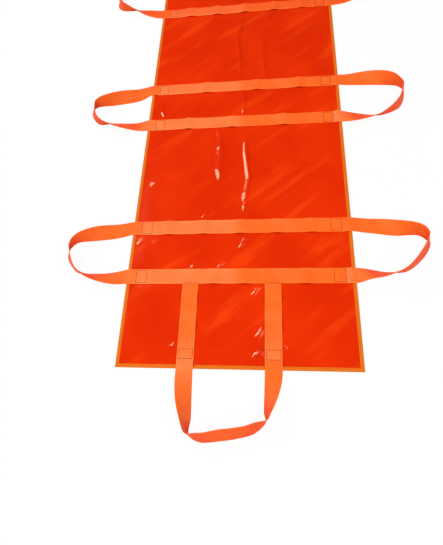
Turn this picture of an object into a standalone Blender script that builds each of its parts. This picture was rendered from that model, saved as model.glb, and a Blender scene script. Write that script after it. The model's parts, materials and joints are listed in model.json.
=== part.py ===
# Soft transfer stretcher: a laminated sheet in three folding sections, bound at its edges,
# with sewn webbing straps that run out past the edges as eight carrying handles.
# Metres, +Z up, +Y towards the head end. The origin is under the sheet's middle, on the floor.
import math

import bmesh
import bpy
import numpy as np

# Sheet
SHEET_LENGTH = 1.98
SHEET_WIDTH = 0.71
SHEET_THICKNESS = 0.0008
FOLD_DISTANCE = 0.575  # from each end of the sheet to its cross fold

# Edge binding, a tape folded over the sheet's edge
TAPE_WIDTH = 0.013
TAPE_THICKNESS = 0.0006

# Webbing
WEB_WIDTH = 0.050
WEB_THICKNESS = 0.0016
PAIR_SPACING = 0.175  # between the two straps of a pair, middle to middle
END_PAIR_DISTANCE = 0.374  # from each end of the sheet to the middle of its pair
LEG_OFFSET_LEFT = 0.148  # end handle's left leg, from the centre line to its middle
LEG_OFFSET_RIGHT = 0.107
LEG_TUCK = 0.044  # length of a leg's end that lies under the strap

# Handles
SIDE_HANDLE_REACH = 0.230  # from the sheet's side edge
END_HANDLE_REACH = 0.196  # from the sheet's end
LANDING_LENGTH = 0.050  # in which a handle comes down from the edge to the floor
HANDLE_SECTIONS = 64

# Box stitching
STITCH_INSET_SIDE = 0.030  # from the sheet's side edge to the box
STITCH_LENGTH_SIDE = 0.034
STITCH_INSET_END = 0.029
STITCH_LENGTH_END = 0.028
STITCH_MARGIN = 0.004  # from the webbing's edge to the thread
THREAD_WIDTH = 0.0012
THREAD_HEIGHT = 0.0006

# Relief of the sheet where it lies loose between what is sewn on it
CREASE_HEIGHT = 0.0030
CREASE_HALF_WIDTH = 0.045
WAVE_HEIGHT = 0.0016
WAVE_LENGTH_ACROSS = 0.310
WAVE_LENGTH_ALONG = 0.230
FLAT_MARGIN = 0.006  # beside a strap, a leg or a tape, where the sheet is still flat
CELL = 0.034  # longest side of a face of the sheet

# Clearances
CLEARANCE = 0.0003
RAMP_LENGTH = 0.010  # in which webbing climbs over what lies under it
AXIS_MARK = 0.050  # size at which an axis is drawn in the viewport

# Handle routes. Each row: way out as a share of the reach, place between the two arms as
# a share of half their gap, the way that the webbing's width faces (90 along the first arm's
# side, 0 straight out, -90 along the second arm's side) and its roll off the floor, in degrees.
FOOT_RIGHT_SHARES_AND_DEGREES = (
    (0.000, 1.00, 90, 0), (0.270, 0.87, 83, 7), (0.550, 0.72, 82, 37), (0.827, 0.74, 64, 84),
    (0.979, 0.31, 6, 116), (0.864, -0.52, -30, 110), (0.639, -1.19, -64, 94),
    (0.382, -1.23, -90, 59), (0.150, -1.06, -91, 30), (0.000, -1.00, -90, 0),
)
FOOT_LEFT_SHARES_AND_DEGREES = (
    (0.000, 1.00, 90, 0), (0.259, 0.80, 83, 12), (0.545, 0.70, 80, 50), (0.815, 0.60, 60, 104),
    (0.920, 0.08, 16, 132), (0.890, -0.48, -28, 124), (0.732, -1.14, -56, 98),
    (0.512, -1.21, -83, 58), (0.258, -1.18, -91, 28), (0.000, -1.00, -90, 0),
)
MIDDLE_RIGHT_SHARES_AND_DEGREES = (
    (0.000, 1.00, 90, 0), (0.220, 0.95, 88, 12), (0.620, 0.85, 82, 52), (0.890, 0.70, 55, 98),
    (0.975, 0.16, 10, 104), (0.880, -0.89, -35, 104), (0.626, -1.38, -76, 71),
    (0.420, -1.36, -93, 41), (0.000, -1.00, -90, 0),
)
MIDDLE_LEFT_SHARES_AND_DEGREES = (
    (0.000, 1.00, 90, 0), (0.224, 0.60, 80, 20), (0.620, 0.39, 79, 63), (0.929, 0.31, 45, 106),
    (1.000, -0.28, -7, 119), (0.846, -1.07, -49, 98), (0.589, -1.07, -83, 48),
    (0.224, -1.14, -88, 20), (0.000, -1.00, -90, 0),
)
END_SHARES_AND_DEGREES = (
    (0.000, 1.00, 90, 0), (0.284, 0.99, 88, 32), (0.568, 0.98, 87, 65), (0.683, 1.04, 53, 94),
    (0.852, 0.73, 27, 121), (0.923, 0.30, 15, 121), (0.966, -0.18, 5, 123),
    (0.989, -0.68, -11, 116), (0.881, -1.01, -51, 95), (0.672, -0.97, -83, 55),
    (0.333, -0.99, -87, 27), (0.000, -1.00, -90, 0),
)

# Colour, roughness and metallic value of each material
FINISHES = {
    "laminate": ((0.80, 0.030, 0.002), 0.18, 0.0),
    "binding_tape": ((0.79, 0.135, 0.008), 0.55, 0.0),
    "webbing": ((0.95, 0.190, 0.035), 0.70, 0.0),
    "thread": ((0.55, 0.060, 0.012), 0.75, 0.0),
}

# Heights and places that follow from the sizes above
SHEET_BOTTOM = TAPE_THICKNESS + CLEARANCE
SHEET_TOP = SHEET_BOTTOM + SHEET_THICKNESS
TAPE_TOP = SHEET_TOP + CLEARANCE + TAPE_THICKNESS
WEB_ON_SHEET = SHEET_TOP + CLEARANCE
WEB_ON_TAPE = TAPE_TOP + CLEARANCE
WEB_ON_LEG = WEB_ON_SHEET + WEB_THICKNESS + CLEARANCE
HANDLE_AXIS_HEIGHT = WEB_ON_TAPE + WEB_THICKNESS + CLEARANCE
FOLD_AXIS_HEIGHT = TAPE_TOP + CLEARANCE
HALF_LENGTH = SHEET_LENGTH / 2
HALF_WIDTH = SHEET_WIDTH / 2
FOLD_Y = HALF_LENGTH - FOLD_DISTANCE
END_PAIR_Y = HALF_LENGTH - END_PAIR_DISTANCE
NEAR_STRAP_Y = END_PAIR_Y + PAIR_SPACING / 2  # the end pair's strap nearer to the end
FAR_STRAP_Y = END_PAIR_Y - PAIR_SPACING / 2
HALF_GAP = (PAIR_SPACING - WEB_WIDTH) / 2
LEG_MIDDLE_X = (LEG_OFFSET_RIGHT - LEG_OFFSET_LEFT) / 2
LEG_HALF_GAP = (LEG_OFFSET_RIGHT + LEG_OFFSET_LEFT - WEB_WIDTH) / 2
SHEET_EDGE = TAPE_THICKNESS + CLEARANCE  # from the tape's outer face to the sheet's edge


def clear_scene():
    for obj in list(bpy.data.objects):
        bpy.data.objects.remove(obj, do_unlink=True)


def finish_material(name):
    found = bpy.data.materials.get(name)
    if found:
        return found
    colour, roughness, metallic = FINISHES[name]
    material = bpy.data.materials.new(name)
    material.use_nodes = True
    shader = material.node_tree.nodes["Principled BSDF"]
    shader.inputs["Base Color"].default_value = (*colour, 1.0)
    shader.inputs["Roughness"].default_value = roughness
    shader.inputs["Metallic"].default_value = metallic
    material.diffuse_color = (*colour, 1.0)
    return material


def add_axis(name, location, parent=None):
    axis = bpy.data.objects.new(name, None)
    axis.empty_display_size = AXIS_MARK
    axis.location = location
    bpy.context.collection.objects.link(axis)
    if parent:
        axis.parent = parent
        axis.location = np.subtract(location, parent.location)
    return axis


def add_piece(name, points, faces, finish, axis, smooth=False):
    # Points are given in the part's frame, and the piece's origin lies on its axis.
    bpy.context.view_layer.update()
    pivot = np.array(axis.matrix_world.translation)
    mesh = bpy.data.meshes.new(name)
    mesh.from_pydata([tuple(p) for p in np.asarray(points) - pivot], [], faces)
    shell = bmesh.new()
    shell.from_mesh(mesh)
    bmesh.ops.recalc_face_normals(shell, faces=shell.faces)
    shell.to_mesh(mesh)
    shell.free()
    mesh.materials.append(finish_material(finish))
    if smooth:
        mesh.shade_smooth()
        mesh.set_sharp_from_angle(angle=math.radians(40))
    obj = bpy.data.objects.new(name, mesh)
    bpy.context.collection.objects.link(obj)
    obj.parent = axis
    return obj


def tube_faces(rings, corners):
    # Side faces of a solid whose cross sections follow each other, with its two end faces.
    faces = []
    for i in range(rings - 1):
        for j in range(corners):
            k = (j + 1) % corners
            faces.append((i * corners + j, i * corners + k, (i + 1) * corners + k, (i + 1) * corners + j))
    faces.append(tuple(range(corners)))
    faces.append(tuple((rings - 1) * corners + j for j in range(corners)))
    return faces


def band_faces():
    # A handle's faces as triangles, because a twisted face isn't flat. Each diagonal runs from the
    # inner edge to the outer edge on both broad sides, so that a twist keeps its thickness.
    faces = []
    for start in range(0, 4 * (HANDLE_SECTIONS - 1), 4):
        inner_low, outer_low, outer_high, inner_high = range(start, start + 4)
        broad_sides = ((inner_low, outer_low), (inner_high, outer_high))
        narrow_sides = ((inner_low, inner_high), (outer_low, outer_high))
        for a, b in broad_sides + narrow_sides:
            faces += [(a, b, b + 4), (a, b + 4, a + 4)]
    for cap in (0, 4 * (HANDLE_SECTIONS - 1)):
        faces += [(cap, cap + 1, cap + 2), (cap, cap + 2, cap + 3)]
    return faces


def smooth_step(value):
    t = min(max(value, 0.0), 1.0)
    return t * t * (3 - 2 * t)


def climb(distance, raised, low, high):
    # Height of webbing that is up at high within raised of a place and down at low past the ramp.
    return high + (low - high) * smooth_step((distance - raised) / RAMP_LENGTH)


def strap_underside(x, crosses_legs):
    height = climb(HALF_WIDTH - abs(x), TAPE_WIDTH + CLEARANCE, WEB_ON_SHEET, WEB_ON_TAPE)
    if crosses_legs:
        for leg_x in (-LEG_OFFSET_LEFT, LEG_OFFSET_RIGHT):
            over = climb(abs(x - leg_x), WEB_WIDTH / 2 + CLEARANCE, WEB_ON_SHEET, WEB_ON_LEG)
            height = max(height, over)
    return height


def ramp_stations(start, end):
    return [start + (end - start) * i / 4 for i in range(5)]


def add_strap(name, y, crosses_legs, axis):
    inner = HALF_WIDTH - TAPE_WIDTH - CLEARANCE
    stations = [HALF_WIDTH] + ramp_stations(inner, inner - RAMP_LENGTH)
    stations += [-x for x in stations]
    if crosses_legs:
        for leg_x in (-LEG_OFFSET_LEFT, LEG_OFFSET_RIGHT):
            edge = WEB_WIDTH / 2 + CLEARANCE
            for side in (-1, 1):
                stations += ramp_stations(leg_x + side * edge, leg_x + side * (edge + RAMP_LENGTH))
    points = []
    for x in sorted(stations):
        z = strap_underside(x, crosses_legs)
        for dy, dz in ((-1, 0), (1, 0), (1, 1), (-1, 1)):
            points.append((x, y + dy * WEB_WIDTH / 2, z + dz * WEB_THICKNESS))
    return add_piece(name, points, tube_faces(len(stations), 4), "webbing", axis)


def add_leg(name, x, end, axis):
    # A leg runs from the sheet's end, over the tape and up under the near strap.
    inner = HALF_LENGTH - TAPE_WIDTH - CLEARANCE
    stations = [HALF_LENGTH] + ramp_stations(inner, inner - RAMP_LENGTH)
    stations.append(NEAR_STRAP_Y + WEB_WIDTH / 2 - LEG_TUCK)
    points = []
    for y in stations:
        z = climb(HALF_LENGTH - y, TAPE_WIDTH + CLEARANCE, WEB_ON_SHEET, WEB_ON_TAPE)
        for dx, dz in ((-1, 0), (1, 0), (1, 1), (-1, 1)):
            points.append((x + dx * WEB_WIDTH / 2, end * y, z + dz * WEB_THICKNESS))
    return add_piece(name, points, tube_faces(len(stations), 4), "webbing", axis)


def spline(rows, count):
    # Smooth cubic through the rows, with each row's slope taken from the two rows beside it.
    rows = np.array(rows, float)
    rows = np.vstack([2 * rows[0] - rows[1], rows, 2 * rows[-1] - rows[-2]])
    t = np.linspace(0, len(rows) - 3, count)
    i = np.minimum(t.astype(int), len(rows) - 4)
    f = (t - i)[:, None]
    a, b, c, d = rows[i], rows[i + 1], rows[i + 2], rows[i + 3]
    return 0.5 * (2 * b + (c - a) * f + (2 * a - 5 * b + 4 * c - d) * f**2 + (3 * b - a - 3 * c + d) * f**3)


def handle_points(route, reach, half_gap):
    # Four corners of each cross section, as way out, way along and height.
    out_share, gap_share, facing, roll = spline(route, HANDLE_SECTIONS).T
    out = out_share * reach
    along = gap_share * half_gap
    facing, roll = np.radians(facing), np.radians(roll)
    width = np.stack([np.cos(roll) * np.cos(facing), np.cos(roll) * np.sin(facing), np.sin(roll)], 1)
    inner_edge = np.stack([out, along, np.zeros_like(out)], 1)
    outer_edge = inner_edge + WEB_WIDTH * width
    tangent = np.gradient((inner_edge + outer_edge) / 2, axis=0)
    normal = np.cross(tangent, width)
    normal /= np.linalg.norm(normal, axis=1)[:, None]
    offset = normal * WEB_THICKNESS / 2
    under = [inner_edge - offset, outer_edge - offset]
    over = [outer_edge + offset, inner_edge + offset]
    corners = np.stack(under + over, 1)
    landing = WEB_ON_TAPE * np.clip(1 - out / LANDING_LENGTH, 0, 1) ** 2
    corners[:, :, 2] += (landing - corners[:, :, 2].min(axis=1))[:, None]
    return corners.reshape(-1, 3)


def add_side_handle(name, route, side, y, flip, axis):
    points = handle_points(route, SIDE_HANDLE_REACH, HALF_GAP)
    placed = np.stack([
        side * (HALF_WIDTH + CLEARANCE + points[:, 0]),
        y + flip * points[:, 1],
        points[:, 2],
    ], 1)
    return add_piece(name, placed, band_faces(), "webbing", axis, smooth=True)


def add_end_handle(name, end, axis):
    points = handle_points(END_SHARES_AND_DEGREES, END_HANDLE_REACH, LEG_HALF_GAP)
    placed = np.stack([
        LEG_MIDDLE_X + points[:, 1],
        end * (HALF_LENGTH + CLEARANCE + points[:, 0]),
        points[:, 2],
    ], 1)
    return add_piece(name, placed, band_faces(), "webbing", axis, smooth=True)


def tape_profile():
    # Cross section of the folded tape, as depth from its outer face and height.
    lip = SHEET_TOP + CLEARANCE
    return (
        (0, 0), (TAPE_WIDTH, 0), (TAPE_WIDTH, TAPE_THICKNESS), (TAPE_THICKNESS, TAPE_THICKNESS),
        (TAPE_THICKNESS, lip), (TAPE_WIDTH, lip), (TAPE_WIDTH, TAPE_TOP), (0, TAPE_TOP),
    )


def add_side_tape(name, side, start, end, axis):
    # start and end give each cut's place at the outer face and how it runs inwards.
    points = []
    for place, slant in (start, end):
        for depth, z in tape_profile():
            points.append((side * (HALF_WIDTH - depth), place + slant * depth, z))
    return add_piece(name, points, tube_faces(2, 8), "binding_tape", axis)


def add_end_tape(name, end, axis):
    points = []
    for side in (-1, 1):
        for depth, z in tape_profile():
            points.append((side * (HALF_WIDTH - CLEARANCE - depth), end * (HALF_LENGTH - depth), z))
    return add_piece(name, points, tube_faces(2, 8), "binding_tape", axis)


def divide(marks):
    # Places between the marks, no further apart than a cell.
    marks = sorted(marks)
    places = []
    for a, b in zip(marks, marks[1:]):
        steps = max(1, math.ceil((b - a) / CELL - 1e-6))
        places += [a + (b - a) * i / steps for i in range(steps)]
    return places + [marks[-1]]


def strap_lines():
    return (-NEAR_STRAP_Y, -FAR_STRAP_Y, -PAIR_SPACING / 2, PAIR_SPACING / 2, FAR_STRAP_Y, NEAR_STRAP_Y)


def relief(x, y):
    # Height of the sheet's loose places: a crease along its middle and long low waves.
    flat_half = WEB_WIDTH / 2 + FLAT_MARGIN
    free = min(abs(y - line) - flat_half for line in strap_lines())
    free = min(free, abs(abs(y) - FOLD_Y) - FLAT_MARGIN)
    free = min(free, HALF_LENGTH - TAPE_WIDTH - FLAT_MARGIN - abs(y))
    free = min(free, HALF_WIDTH - TAPE_WIDTH - FLAT_MARGIN - abs(x))
    if abs(y) > NEAR_STRAP_Y:
        free = min(free, min(abs(x + LEG_OFFSET_LEFT), abs(x - LEG_OFFSET_RIGHT)) - flat_half)
    lift = smooth_step(free / CREASE_HALF_WIDTH)
    crease = CREASE_HEIGHT * math.exp(-((x - LEG_MIDDLE_X) / CREASE_HALF_WIDTH) ** 2)
    across = math.sin(2 * math.pi * (x / WAVE_LENGTH_ACROSS + y / WAVE_LENGTH_ALONG))
    return lift * (crease + WAVE_HEIGHT * (0.5 + 0.5 * across))


def add_sheet(name, low_y, high_y, axis):
    # A closed slab on a grid whose lines run along every strap, leg and tape.
    flat_half = WEB_WIDTH / 2 + FLAT_MARGIN
    edge = HALF_WIDTH - SHEET_EDGE
    flat_edge = HALF_WIDTH - TAPE_WIDTH - FLAT_MARGIN
    columns = {-edge, edge, -flat_edge, flat_edge}
    for leg_x in (-LEG_OFFSET_LEFT, LEG_OFFSET_RIGHT):
        columns |= {leg_x - flat_half, leg_x + flat_half}
    rows = {low_y, high_y, -FOLD_Y - FLAT_MARGIN, -FOLD_Y + FLAT_MARGIN}
    rows |= {FOLD_Y - FLAT_MARGIN, FOLD_Y + FLAT_MARGIN}
    rows |= {TAPE_WIDTH + FLAT_MARGIN - HALF_LENGTH, HALF_LENGTH - TAPE_WIDTH - FLAT_MARGIN}
    for line in strap_lines():
        rows |= {line - flat_half, line + flat_half}
    xs = divide(columns)
    ys = divide(y for y in rows if low_y <= y <= high_y)
    points = []
    for z in (SHEET_BOTTOM, SHEET_TOP):
        points += [(x, y, z + relief(x, y)) for y in ys for x in xs]
    across, layer = len(xs), len(xs) * len(ys)
    faces = []
    for j in range(len(ys) - 1):
        for i in range(across - 1):
            a = j * across + i
            faces.append((a, a + across, a + across + 1, a + 1))
            faces.append((layer + a, layer + a + 1, layer + a + across + 1, layer + a + across))
    rim = list(range(across))
    rim += [j * across + across - 1 for j in range(1, len(ys))]
    rim += [layer - 1 - i for i in range(1, across)]
    rim += [j * across for j in range(len(ys) - 2, 0, -1)]
    for a, b in zip(rim, rim[1:] + rim[:1]):
        faces.append((a, b, layer + b, layer + a))
    return add_piece(name, points, faces, "laminate", axis, smooth=True)


def add_stitch_box(name, centre, half_x, half_y, axis):
    # A closed ring of thread on the webbing's upper face.
    low = WEB_ON_SHEET + WEB_THICKNESS + CLEARANCE
    points = []
    for z in (low, low + THREAD_HEIGHT):
        for inset in (0, THREAD_WIDTH):
            for sx, sy in ((-1, -1), (1, -1), (1, 1), (-1, 1)):
                points.append((centre[0] + sx * (half_x - inset), centre[1] + sy * (half_y - inset), z))
    faces = []
    for a, b in ((0, 8), (8, 12), (12, 4), (4, 0)):
        for j in range(4):
            k = (j + 1) % 4
            faces.append((a + j, a + k, b + k, b + j))
    return add_piece(name, points, faces, "thread", axis)


def add_side_stitches(name, y, axis):
    middle = HALF_WIDTH - STITCH_INSET_SIDE - STITCH_LENGTH_SIDE / 2
    half_y = WEB_WIDTH / 2 - STITCH_MARGIN
    for label, side in (("left", -1), ("right", 1)):
        add_stitch_box(f"{name}_{label}", (side * middle, y), STITCH_LENGTH_SIDE / 2, half_y, axis)


def side_axis(name, side, y, section):
    return add_axis(name, (side * (HALF_WIDTH + CLEARANCE / 2), y, HANDLE_AXIS_HEIGHT), section)


def make_middle_section():
    section = add_axis("middle_section_axis", (0, 0, 0))
    add_sheet("sheet_middle", -FOLD_Y + CLEARANCE / 2, FOLD_Y - CLEARANCE / 2, section)
    cuts = ((-FOLD_Y + CLEARANCE / 2, 0), (FOLD_Y - CLEARANCE / 2, 0))
    for label, side in (("left", -1), ("right", 1)):
        add_side_tape(f"binding_{label}_middle", side, *cuts, section)
    for label, y in (("lower", -PAIR_SPACING / 2), ("upper", PAIR_SPACING / 2)):
        add_strap(f"strap_middle_{label}", y, False, section)
        add_side_stitches(f"stitch_middle_{label}", y, section)
    left = side_axis("handle_middle_left_axis", -1, 0, section)
    right = side_axis("handle_middle_right_axis", 1, 0, section)
    add_side_handle("handle_middle_left", MIDDLE_LEFT_SHARES_AND_DEGREES, -1, 0, 1, left)
    add_side_handle("handle_middle_right", MIDDLE_RIGHT_SHARES_AND_DEGREES, 1, 0, 1, right)
    return section


def make_end_section(label, end, middle_section):
    # end is -1 for the foot and 1 for the head, which is the foot mirrored.
    section = add_axis(f"{label}_fold_axis", (0, end * FOLD_Y, FOLD_AXIS_HEIGHT), middle_section)
    fold = end * (FOLD_Y + CLEARANCE / 2)
    limits = sorted((fold, end * (HALF_LENGTH - SHEET_EDGE)))
    add_sheet(f"sheet_{label}", limits[0], limits[1], section)
    mitre = (end * (HALF_LENGTH - CLEARANCE), -end)
    for side_label, side in (("left", -1), ("right", 1)):
        add_side_tape(f"binding_{side_label}_{label}", side, (fold, 0), mitre, section)
    add_end_tape(f"binding_{label}_end", end, section)
    for strap_label, y, crosses in (("near", NEAR_STRAP_Y, True), ("far", FAR_STRAP_Y, False)):
        add_strap(f"strap_{label}_{strap_label}", end * y, crosses, section)
        add_side_stitches(f"stitch_{label}_{strap_label}", end * y, section)
    half_x = WEB_WIDTH / 2 - STITCH_MARGIN
    stitch_y = end * (HALF_LENGTH - STITCH_INSET_END - STITCH_LENGTH_END / 2)
    for leg_label, x in (("left", -LEG_OFFSET_LEFT), ("right", LEG_OFFSET_RIGHT)):
        add_leg(f"leg_{label}_{leg_label}", x, end, section)
        name = f"stitch_{label}_leg_{leg_label}"
        add_stitch_box(name, (x, stitch_y), half_x, STITCH_LENGTH_END / 2, section)
    pair_y = end * END_PAIR_Y
    left = side_axis(f"handle_{label}_left_axis", -1, pair_y, section)
    right = side_axis(f"handle_{label}_right_axis", 1, pair_y, section)
    add_side_handle(f"handle_{label}_left", FOOT_LEFT_SHARES_AND_DEGREES, -1, pair_y, -end, left)
    add_side_handle(f"handle_{label}_right", FOOT_RIGHT_SHARES_AND_DEGREES, 1, pair_y, -end, right)
    end_place = (0, end * (HALF_LENGTH + CLEARANCE / 2), HANDLE_AXIS_HEIGHT)
    add_end_handle(f"handle_{label}_end", end, add_axis(f"handle_{label}_end_axis", end_place, section))


def main():
    clear_scene()
    middle_section = make_middle_section()
    make_end_section("foot", -1, middle_section)
    make_end_section("head", 1, middle_section)


main()
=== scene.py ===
import json
import math

import bpy
import numpy as np
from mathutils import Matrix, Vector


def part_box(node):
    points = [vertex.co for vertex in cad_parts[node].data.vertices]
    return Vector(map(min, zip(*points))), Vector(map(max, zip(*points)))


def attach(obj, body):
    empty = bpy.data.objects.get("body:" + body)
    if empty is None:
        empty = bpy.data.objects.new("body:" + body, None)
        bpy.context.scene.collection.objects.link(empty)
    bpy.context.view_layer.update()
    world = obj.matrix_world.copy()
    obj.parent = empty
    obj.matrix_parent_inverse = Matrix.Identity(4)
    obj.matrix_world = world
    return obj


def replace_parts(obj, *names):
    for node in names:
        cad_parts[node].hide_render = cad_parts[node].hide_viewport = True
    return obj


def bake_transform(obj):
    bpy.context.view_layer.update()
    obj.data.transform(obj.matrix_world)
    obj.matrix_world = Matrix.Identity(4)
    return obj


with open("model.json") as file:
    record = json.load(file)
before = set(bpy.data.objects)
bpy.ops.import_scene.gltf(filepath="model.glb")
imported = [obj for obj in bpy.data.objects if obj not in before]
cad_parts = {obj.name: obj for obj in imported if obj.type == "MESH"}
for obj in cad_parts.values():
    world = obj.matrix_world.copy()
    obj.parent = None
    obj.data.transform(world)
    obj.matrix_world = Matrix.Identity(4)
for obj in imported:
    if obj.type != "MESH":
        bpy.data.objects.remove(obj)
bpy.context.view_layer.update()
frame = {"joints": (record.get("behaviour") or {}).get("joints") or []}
joints = {joint["name"]: joint for joint in frame["joints"]}


def lowest(node):
    return np.array(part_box(node)[0])


def highest(node):
    return np.array(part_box(node)[1])


def middle(node):
    return (lowest(node) + highest(node)) / 2


# Sizes of the stretcher, all read from its frame
gap = 0.0003  # between pieces that lie on each other
halfWidth = highest("binding_right_middle")[0]
halfLength = highest("binding_head_end")[1]
tapeWidth = halfWidth - lowest("binding_right_middle")[0]
tapeTop = highest("binding_right_middle")[2]
sheetUnder = lowest("sheet_foot")[2]
sheetTop = lowest("strap_middle_lower")[2] - gap
webWidth = highest("strap_middle_lower")[1] - lowest("strap_middle_lower")[1]
webThickness = highest("strap_middle_lower")[2] - tapeTop - gap
foldY = joints["head_fold"]["pos_m"][1]
strapNames = ("foot_near", "foot_far", "middle_lower", "middle_upper", "head_far", "head_near")
strapY = {name: middle("strap_" + name)[1] for name in strapNames}
legX = {side: middle("leg_foot_" + side)[0] for side in ("left", "right")}
boxOuter = highest("stitch_middle_lower_right")[0]  # of the stitched box at a strap's end
boxInner = lowest("stitch_middle_lower_right")[0]
boxHalf = (highest("stitch_middle_lower_right")[1] - lowest("stitch_middle_lower_right")[1]) / 2
legBoxOuter = highest("stitch_head_leg_right")[1]
legBoxInner = lowest("stitch_head_leg_right")[1]
tuckEnd = -highest("leg_foot_left")[1]  # how far from the middle a leg ends, under the near strap
ends = {"foot": -1, "head": 1}
sides = {"left": -1, "right": 1}


def rise(distance, length):
    # 0 where distance is 0 or less, 1 from length on, and 3t^2 - 2t^3 in between.
    t = np.clip(distance / length, 0, 1)
    return t * t * (3 - 2 * t)


def curveThrough(rows, count):
    # A cubic through the rows, at count even steps of its parameter. Its slope at a row is half
    # the way between the two rows beside it.
    rows = np.array(rows, float)
    rows = np.vstack([2 * rows[0] - rows[1], rows, 2 * rows[-1] - rows[-2]])
    t = np.linspace(0, len(rows) - 3, count)
    i = np.minimum(t.astype(int), len(rows) - 4)
    f = (t - i)[:, None]
    a, b, c, d = rows[i], rows[i + 1], rows[i + 2], rows[i + 3]
    bend = (2 * a - 5 * b + 4 * c - d) * f**2 + (3 * b - a - 3 * c + d) * f**3
    return b + ((c - a) * f + bend) / 2


def lengthAlong(points):
    # Distance from the first point along the polyline, for each point.
    steps = np.linalg.norm(np.diff(points, axis=0), axis=1)
    return np.concatenate([[0], np.cumsum(steps)])


def gridFaces(rows, columns, closed=False):
    # Corners of each cell of a grid of points; a closed grid joins its last column to its first.
    i, j = np.meshgrid(np.arange(rows - 1), np.arange(columns if closed else columns - 1), indexing="ij")
    k = (j + 1) % columns
    cells = np.stack([i * columns + j, i * columns + k, (i + 1) * columns + k, (i + 1) * columns + j], -1)
    return cells.reshape(-1, 4)


def turnedOut(points, faces):
    # Whether the shell's volume, the sum of its faces' cones, is 0 or more.
    a, b, c, d = (points[faces[:, i]] for i in range(4))
    cones = np.einsum("ij,ij->i", a, np.cross(b, c)) + np.einsum("ij,ij->i", a, np.cross(c, d))
    return cones.sum() >= 0


def addPiece(name, points, faces, cloth, paint, caps=()):
    # A closed mesh from arrays. cloth holds each point's place on the flat goods, in metres.
    outward = turnedOut(points, faces)
    rings = [*faces.tolist(), *caps]
    mesh = bpy.data.meshes.new(name)
    mesh.from_pydata(points.tolist(), [], rings if outward else [ring[::-1] for ring in rings])
    corners = np.zeros(len(mesh.loops), np.int32)
    mesh.loops.foreach_get("vertex_index", corners)
    layer = mesh.uv_layers.new(name="cloth")
    layer.data.foreach_set("uv", cloth[corners].astype(np.float32).ravel())
    mesh.materials.append(paint)
    mesh.shade_smooth()
    mesh.set_sharp_from_angle(angle=math.radians(50))
    piece = bpy.data.objects.new(name, mesh)
    bpy.context.scene.collection.objects.link(piece)
    return piece


def endCaps(rows, columns):
    # The two end faces of a tube of rings, wound like its side faces.
    first = list(range(columns))[::-1]
    last = [(rows - 1) * columns + j for j in range(columns)]
    return [first, last]


# A socket of a node tree. Arithmetic on it adds Math nodes.
class Wire:
    def __init__(self, tree, socket):
        self.tree = tree
        self.socket = socket

    def math(self, operation, *others):
        return self.tree.node("Math", {"operation": operation}, dict(enumerate((self, *others))))

    def __add__(self, other):
        return self.math("ADD", other)

    def __sub__(self, other):
        return self.math("SUBTRACT", other)

    def __rsub__(self, other):
        return self.tree.node("Math", {"operation": "SUBTRACT"}, {0: other, 1: self})

    def __mul__(self, other):
        return self.math("MULTIPLY", other)

    __radd__ = __add__
    __rmul__ = __mul__

    def ribs(self, pitch):
        # |sin(pi value / pitch)|: one round rib for each pitch.
        return (self * (math.pi / pitch)).math("SINE").math("ABSOLUTE")

    def between(self, low, high):
        # 0 at low and 1 at high, and no further.
        limits = {"Value": self, "From Min": low, "From Max": high}
        return self.tree.node("MapRange", {"interpolation_type": "SMOOTHSTEP"}, limits)


# A node tree, and the one method that adds any node to it.
class NodeTree:
    def __init__(self, owner):
        owner.use_nodes = True
        self.tree = owner.node_tree

    def feed(self, socket, value):
        if isinstance(value, Wire):
            self.tree.links.new(value.socket, socket)
        else:
            socket.default_value = value

    def node(self, kind, settings=None, inputs=None, output=0):
        made = self.tree.nodes.new("ShaderNode" + kind)
        for key, value in (settings or {}).items():
            setattr(made, key, value)
        for key, value in (inputs or {}).items():
            self.feed(made.inputs[key], value)
        return Wire(self, made.outputs[output])

    def mix(self, factor, first, second):
        return self.node("Mix", {"data_type": "RGBA"}, {0: factor, 6: first, 7: second}, 2)

    def noise(self, vector, scale, detail=2.0):
        return self.node("TexNoise", {}, {"Vector": vector, "Scale": scale, "Detail": detail})

    def bump(self, height, distance, strength=1.0):
        return self.node("Bump", {}, {"Height": height, "Distance": distance, "Strength": strength})


def newPaint(name, constants):
    # A material's tree, its shader and its cloth coordinates, in metres across and along the goods.
    material = bpy.data.materials.new(name)
    tree = NodeTree(material)
    shader = tree.tree.nodes["Principled BSDF"]
    for socketName, value in constants.items():
        shader.inputs[socketName].default_value = value
    cloth = tree.node("UVMap", {"uv_map": "cloth"})
    across = tree.node("SeparateXYZ", {}, {"Vector": cloth}, 0)
    along = tree.node("SeparateXYZ", {}, {"Vector": cloth}, 1)
    return material, tree, shader, cloth, across, along


def stretched(tree, across, along, acrossScale, alongScale):
    # Cloth coordinates drawn out, so that a noise on them runs along the yarns.
    return tree.node("CombineXYZ", {}, {"X": across * acrossScale, "Y": along * alongScale})


laminateLook = {
    "colour": (0.69, 0.0262, 0.0004, 1.0),
    "deep": (0.61, 0.0180, 0.0003, 1.0),
    "scuff": (0.88, 0.060, 0.006, 1.0),
    "roughness": 0.115,
    "scrimPitch": 0.0016,  # of the woven core that shows faintly through the film
    "pale": (1.0, 0.098, 0.006, 1.0),  # painted sheen, in faint slanting bands
    "streaks": 0.24,
    "streakWay": (0.77, 0.64),
}


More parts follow.
